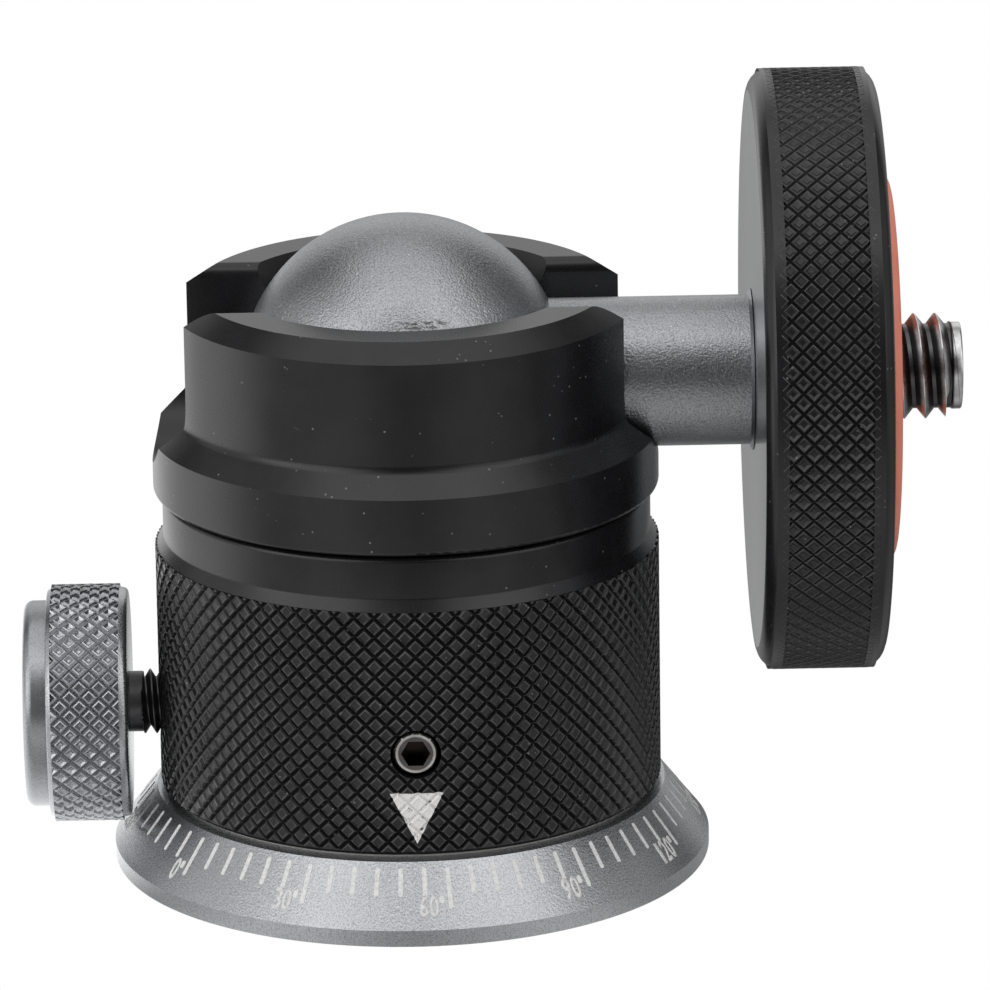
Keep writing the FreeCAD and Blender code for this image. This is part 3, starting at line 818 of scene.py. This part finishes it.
class PlatformOperator(bpy.types.Operator):
    """Platform disc with its knurled rim"""

    bl_idname = "ball_head.platform"
    bl_label = "Platform disc"

    def execute(self, context):
        s = sizes()
        depth = s.disc_knurl_depth / MM
        pitch = s.knurl_pitch / MM
        middle = (DISC_BACK + DISC_FRONT) / 2
        half = s.disc_band / MM / 2
        low, high = middle - half, middle + half
        rim, groove = DISC_R - 0.02, DISC_R - depth
        hole, washer, recess = 2.75, 5.2, 11.6
        pad_floor, washer_floor = DISC_FRONT - 1, DISC_FRONT - 2.9
        body = turned("disc_body", [
            (hole, DISC_BACK), (rim, DISC_BACK, 1.3), (rim, low - 0.3, 0.05),
            (groove, low + 0.05), (groove, high - 0.05), (rim, high + 0.3, 0.05),
            (rim, DISC_FRONT, 1.3), (recess, DISC_FRONT), (recess, pad_floor), (washer, pad_floor),
            (washer, washer_floor), (hole, washer_floor)], 200, 7)
        around = round(2 * math.pi * DISC_R / pitch)
        steps = ((0.1, depth * 0.9), (0.05, depth * 0.1), (0.13, depth * -0.6))
        skin = diamonds("disc_skin", DISC_R - 0.005, steps, low, high, around, pitch)
        smoothed(body, 40)
        piece = joined(body, skin)
        lay(piece, 1, ARM_Z)
        dress(piece, "platform_disc_with_knurl", "platform", "black_aluminium",
              black_anodised("black_anodised_platform", bare_faces=True,
                             crest=(("X", ARM_Z), DISC_R)), "platform_disc")
        return {"FINISHED"}


class KnobOperator(bpy.types.Operator):
    """Lock knob's grip with its knurled rim"""

    bl_idname = "ball_head.knob"
    bl_label = "Lock knob"

    def execute(self, context):
        s = sizes()
        depth = s.grip_knurl_depth / MM
        inner, outer = -GRIP_IN, -GRIP_OUT
        low, high = inner + 0.5, outer - 0.28
        groove = GRIP_R - depth
        bore, spigot, pocket = 1.83, 4.0, outer - 0.8
        body = turned("grip_body", [
            (bore, inner), (groove - 0.05, inner, 0.3), (groove + 0.05, low), (groove, low + 0.05),
            (groove, high - 0.05), (groove + 0.05, high), (groove - 0.12, outer, 0.12), (spigot, outer),
            (spigot, pocket), (bore, pocket)], 120, 4)
        around = round(2 * math.pi * GRIP_R / (s.knurl_pitch / MM * 0.96))
        steps = ((0.13, depth * 0.9), (0.06, depth * 0.1), (0.13, depth * -0.55))
        skin = diamonds("grip_skin", GRIP_R, steps, low, high, around, s.knurl_pitch / MM * 0.975)
        smoothed(body, 40)
        piece = joined(body, skin)
        lay(piece, -1, KNOB_Z)
        # The grip's tint lightens its gunmetal as painted light
        dress(piece, "lock_grip_with_knurl", "lock_knob", "ball_aluminium",
              gunmetal("gunmetal_grip", tint=1.25, roughness=0.18, grain=0.12, depth=0.008), "lock_grip")
        return {"FINISHED"}


class ThreadsOperator(bpy.types.Operator):
    """Camera stud and lock screw with their wound threads"""

    bl_idname = "ball_head.threads"
    bl_label = "Threaded screws"

    def execute(self, context):
        s = sizes()
        pad_floor = DISC_FRONT - 1
        crest, root = 3.15, 2.43
        wound = thread("stud_thread", crest, root, s.stud_pitch / MM, pad_floor + 0.05, STUD_TIP)
        tip = turned("stud_tip", [
            (0.05, pad_floor - 1), (4, pad_floor - 1), (4, STUD_TIP - 1.6), (3.3, STUD_TIP - 1.15),
            (2.65, STUD_TIP - 0.7), (2.62, STUD_TIP, 0.15), (0.05, STUD_TIP)], 64, 3)
        cut(wound, tip, operation="INTERSECT")
        inner = turned("stud_inner", [
            (0.05, STUD_FOOT), (2.7, STUD_FOOT, 0.6), (2.7, pad_floor - 1.3), (5.2, pad_floor - 1.3),
            (5.2, pad_floor), (root + 0.15, pad_floor), (root + 0.1, pad_floor + 0.2),
            (root + 0.1, STUD_TIP - 0.7), (root + 0.17, STUD_TIP - 0.6), (root + 0.17, STUD_TIP - 0.03, 0.12),
            (0.05, STUD_TIP - 0.03)], 72, 3)
        smoothed(inner)
        smoothed(wound, 28)
        stud = joined(wound, inner)
        lay(stud, 1, ARM_Z)
        dress(stud, "camera_stud_threaded", "platform", "stud_steel",
              # The crest radii set where the painted shade in the stud's thread grooves gives way to the
              # plain crest
              turned_steel("stud_steel_turned", tuple(colours().stud), 0.18, axis="X",
                           crest=(ARM_Z, 2.8, 3.06)), "camera_stud")
        start, collar, end = -SCREW_IN, -GRIP_IN - 0.85, -SCREW_OUT
        wound = thread("screw_thread", 1.95, 1.5, s.screw_pitch / MM, start, collar + 0.05, 48, 0.1)
        plain = turned("screw_plain", [
            (0.05, collar), (1.83, collar, 0.1), (1.83, end), (0.05, end)], 64, 3)
        smoothed(plain)
        smoothed(wound, 28)
        screw = joined(wound, plain)
        lay(screw, -1, KNOB_Z)
        dress(screw, "lock_screw_threaded", "lock_knob", "black_steel",
              turned_steel("blackened_steel_turned", tuple(colours().blackened), 0.3, 0.9, "X"), "lock_screw")
        return {"FINISHED"}


class DialOperator(bpy.types.Operator):
    """Marks and numbers of the pan scale on the base's cone"""

    bl_idname = "ball_head.dial"
    bl_label = "Dial scale"

    RIM_R, RIM_Z = 18.0, 1.05
    TOP_R, TOP_Z = 15.35, 4.4
    LIFT = 0.012
    SHORT, SHORT_UP = 1.78, 3.0
    LONG, LONG_UP = 2.56, 2.57
    DIGIT_H, DIGIT_W, ONE_W = 1.42, 0.54, 0.3
    DIGIT_UP, DIGIT_ASIDE, DIGIT_STEP = 1.48, -0.97, 0.61
    DOT_UP, DOT_ASIDE = 1.88, -0.5

    def spot(self, angle, up, aside=0.0):
        """Place and turn of something printed on the cone, up the slope and aside of the angle."""
        rise, run = self.TOP_Z - self.RIM_Z, self.RIM_R - self.TOP_R
        length = math.hypot(rise, run)
        radius = self.RIM_R - run * up / length
        height = self.RIM_Z + rise * up / length
        angle = angle + aside / radius
        out = Vector((math.cos(angle), math.sin(angle), 0))
        across = Vector((-math.sin(angle), math.cos(angle), 0))
        slope = (Vector((0, 0, rise)) - out * run) / length
        normal = (out * rise + Vector((0, 0, run))) / length
        place = (out * radius + Vector((0, 0, height)) + normal * self.LIFT) * MM
        return Matrix((
            (across.x, slope.x, normal.x, place.x), (across.y, slope.y, normal.y, place.y),
            (across.z, slope.z, normal.z, place.z), (0, 0, 0, 1)))

    def plate(self, name, width, length):
        """One mark with rounded ends, lying flat."""
        clear_selection()
        bpy.ops.mesh.primitive_plane_add(size=MM)
        obj = bpy.context.object
        obj.name = name
        obj.scale = (width, length, 1)
        settle(obj)
        edit(obj)
        bpy.ops.mesh.bevel(offset=width * 0.46 * MM, segments=4, affect="VERTICES")
        leave_edit()
        return obj

    def glyph(self, letter):
        """One number, lying flat and centred, made condensed as on the real scale."""
        clear_selection()
        bpy.ops.object.text_add()
        obj = bpy.context.object
        obj.data.body = letter
        obj.data.size = MM
        obj.data.offset = 0.024 * MM
        obj.data.resolution_u = 4
        bpy.ops.object.convert(target="MESH")
        obj = bpy.context.object
        low = [min(v.co[k] for v in obj.data.vertices) for k in (0, 1)]
        high = [max(v.co[k] for v in obj.data.vertices) for k in (0, 1)]
        wide = self.ONE_W if letter == "1" else self.DIGIT_W
        scale = (wide * MM / (high[0] - low[0]), self.DIGIT_H * MM / (high[1] - low[1]))
        obj.scale = (scale[0], scale[1], 1)
        obj.location = (-(low[0] + high[0]) / 2 * scale[0], -(low[1] + high[1]) / 2 * scale[1], 0)
        settle(obj)
        return obj

    def copies(self, pattern, places):
        """A copy of a pattern at each place, each with its own mesh."""
        made = []
        for place in places:
            clear_selection()
            obj = pattern.copy()
            obj.data = pattern.data.copy()
            bpy.context.collection.objects.link(obj)
            obj.matrix_world = place
            made.append(obj)
        return made

    def execute(self, context):
        s = sizes()
        step = 2 * math.pi / s.divisions
        labels = s.divisions // 6
        width = s.mark_width / MM
        made = []
        patterns = [self.plate("short_mark", width, self.SHORT), self.plate("long_mark", width, self.LONG)]
        short = [self.spot(s.zero_angle + step * k, self.SHORT_UP) for k in range(s.divisions) if k % 6]
        made += self.copies(patterns[0], short)
        long = [self.spot(s.zero_angle + step * 6 * k, self.LONG_UP) for k in range(labels)]
        made += self.copies(patterns[1], long)
        dot = self.plate("degree_mark", 0.3, 0.5)
        patterns.append(dot)
        made += self.copies(dot, [
            self.spot(s.zero_angle + step * 6 * k, self.DOT_UP, self.DOT_ASIDE)
            for k in range(labels)])
        glyphs = {letter: self.glyph(letter) for letter in "0123456789"}
        for k in range(labels):
            for i, letter in enumerate(reversed(str(30 * k))):
                aside = self.DIGIT_ASIDE - self.DIGIT_STEP * i
                place = self.spot(s.zero_angle + step * 6 * k, self.DIGIT_UP, aside)
                made += self.copies(glyphs[letter], [place])
        for pattern in patterns + list(glyphs.values()):
            bpy.data.objects.remove(pattern)
        piece = joined(*made)
        settle(piece)
        modifier(piece, "SOLIDIFY", thickness=0.03 * MM, offset=-1)
        dress(piece, "dial_marks", "base", "silver_aluminium", printed("pale_dial_ink"))
        return {"FINISHED"}


class FinishesOperator(bpy.types.Operator):
    """Finishes of the pieces that keep their solid shape"""

    bl_idname = "ball_head.finishes"
    bl_label = "Finishes"

    def execute(self, context):
        c = colours()
        steel = turned_steel("bright_steel_turned", tuple(c.steel), 0.24)
        # The base's tint lightens its gunmetal as painted light
        repaint("panning_base", gunmetal("gunmetal_base", tint=1.3, roughness=0.2, grain=0.13, depth=0.016))
        repaint("ball_stem", gunmetal("gunmetal_ball", worn=0.8))
        repaint("grip_cap", gunmetal("gunmetal_cap", roughness=0.2, grain=0.1, depth=0.006, lathe="X"))
        repaint("upper_casing", black_anodised("black_anodised_casing"))
        repaint("platform_pad", red_rubber("red_rubber_pad"))
        # The retaining screw's socket is painted dark as shade
        repaint("retaining_screw", turned_steel(
            "bright_steel_painted_socket_shade", shade(tuple(c.steel), 1.5), 0.16, socket=True))
        for node in ("thread_bush", "stud_washer", "thrust_washer", "seat_spring"):
            repaint(node, steel)
        nylon = moulded("white_nylon", tuple(c.nylon), 0.45)
        for node in ("pan_washer", "hub_washer", "retaining_tip"):
            repaint(node, nylon)
        repaint("ball_seat", moulded("dark_seat_plastic", tuple(c.seat), 0.5))
        repaint("seam_ring", moulded("black_ring_rubber", tuple(c.rubber), 0.6))
        repaint("brake_slug", turned_steel("brass_turned", tuple(c.brass), 0.25))
        return {"FINISHED"}


class StageOperator(bpy.types.Operator):
    """Pale floor, soft studio light and the camera"""

    bl_idname = "ball_head.stage"
    bl_label = "Stage"

    def camera(self, context):
        s = sizes()
        rise, swing, roll = s.camera_rise, s.camera_swing, s.camera_roll
        back = Vector((math.sin(swing) * math.cos(rise), -math.cos(swing) * math.cos(rise), math.sin(rise)))
        right = Vector((math.cos(swing), math.sin(swing), 0))
        up = back.cross(right)
        across = right * math.cos(roll) + up * math.sin(roll)
        upward = up * math.cos(roll) - right * math.sin(roll)
        place = Vector(CAMERA_TARGET) * MM + back * s.camera_distance
        data = bpy.data.cameras.new("studio_camera")
        data.sensor_width = 36
        data.lens = s.camera_reach / PIXELS * 36
        data.clip_start = 0.01
        data.clip_end = 20
        obj = bpy.data.objects.new("studio_camera", data)
        context.collection.objects.link(obj)
        obj.matrix_world = Matrix((
            (across.x, upward.x, back.x, place.x), (across.y, upward.y, back.y, place.y),
            (across.z, upward.z, back.z, place.z), (0, 0, 0, 1)))
        context.scene.camera = obj

    def world(self, context):
        world = bpy.data.worlds.new("studio_world")
        context.scene.world = world
        world.use_nodes = True
        n = Nodes(world.node_tree)
        direction = n.add("ShaderNodeTexCoord", out="Generated")
        light = AMBIENT
        for towards, wide, strength in SOFTBOXES:
            along = n.add("ShaderNodeVectorMath", {"operation": "DOT_PRODUCT"},
                          {0: direction, 1: Vector(towards).normalized()}, "Value")
            edge, core = math.cos(math.radians(wide)), math.cos(math.radians(wide * 0.45))
            light = along.rise(edge, core) * strength + light
        seen = n.add("ShaderNodeLightPath", out="Is Camera Ray")
        strength = light * (1 - seen) + seen
        shader = n.add("ShaderNodeBackground", inputs={"Color": (1, 1, 1, 1), "Strength": strength})
        n.tree.links.new(shader.socket, n.tree.nodes.new("ShaderNodeOutputWorld").inputs["Surface"])

    def floor(self, context):
        clear_selection()
        bpy.ops.mesh.primitive_plane_add(size=8)
        obj = bpy.context.object
        obj.name = "pale_floor"
        material = bpy.data.materials.new("pale_floor")
        material.use_nodes = True
        n = Nodes(material.node_tree)
        pale = (*tuple(colours().backdrop), 1)
        x, y, z = n.split(n.add("ShaderNodeTexCoord", out="Object"))
        away = n.add("ShaderNodeVectorMath", {"operation": "NORMALIZE"}, {0: n.add(
            "ShaderNodeCombineXYZ", inputs={"X": x, "Y": y})})
        light = AMBIENT
        for angle, strength in FLOOR_LIGHT:
            towards = (math.cos(math.radians(angle)), math.sin(math.radians(angle)), 0)
            along = n.add("ShaderNodeVectorMath", {"operation": "DOT_PRODUCT"},
                          {0: away, 1: towards}, "Value")
            light = along.rise(0.5, 0.966) * strength + light
        light = light * (y.rise(-0.25, -0.05) * 0.65 + 0.35)
        seen = n.add("ShaderNodeLightPath", out="Is Camera Ray")
        strength = light * (1 - seen) + seen * SEEN_FLOOR
        shader = n.add("ShaderNodeEmission", inputs={"Color": pale, "Strength": strength})
        n.tree.links.new(shader.socket, n.tree.nodes.new("ShaderNodeOutputMaterial").inputs["Surface"])
        obj.data.materials.append(material)

    def execute(self, context):
        context.scene.view_settings.view_transform = "Standard"
        self.camera(context)
        self.world(context)
        self.floor(context)
        return {"FINISHED"}


class BallHeadPanel(bpy.types.Panel):
    """The ball head's steps and values in the sidebar"""

    bl_idname = "VIEW3D_PT_ball_head"
    bl_label = "Ball Head"
    bl_space_type = "VIEW_3D"
    bl_region_type = "UI"
    bl_category = "Ball Head"

    def draw(self, context):
        for operator in OPERATORS:
            self.layout.operator(operator.bl_idname)
        for group in (sizes(), colours()):
            for key in group.bl_rna.properties.keys():
                if key not in ("rna_type", "name"):
                    self.layout.prop(group, key)


OPERATORS = (StageOperator, FinishesOperator, BarrelOperator, PlatformOperator, KnobOperator,
             ThreadsOperator, DialOperator)
CLASSES = (BallHeadSizes, BallHeadColours, *OPERATORS, BallHeadPanel)


def register():
    for cls in CLASSES:
        bpy.utils.register_class(cls)
    bpy.types.Scene.ball_head_sizes = bpy.props.PointerProperty(type=BallHeadSizes)
    bpy.types.Scene.ball_head_colours = bpy.props.PointerProperty(type=BallHeadColours)


def unregister():
    del bpy.types.Scene.ball_head_sizes
    del bpy.types.Scene.ball_head_colours
    for cls in reversed(CLASSES):
        bpy.utils.unregister_class(cls)


def main():
    register()
    clear_selection()
    bpy.ops.ball_head.stage()
    bpy.ops.ball_head.finishes()
    bpy.ops.ball_head.barrel()
    bpy.ops.ball_head.platform()
    bpy.ops.ball_head.knob()
    bpy.ops.ball_head.threads()
    bpy.ops.ball_head.dial()


if __name__ == "__main__":
    main()
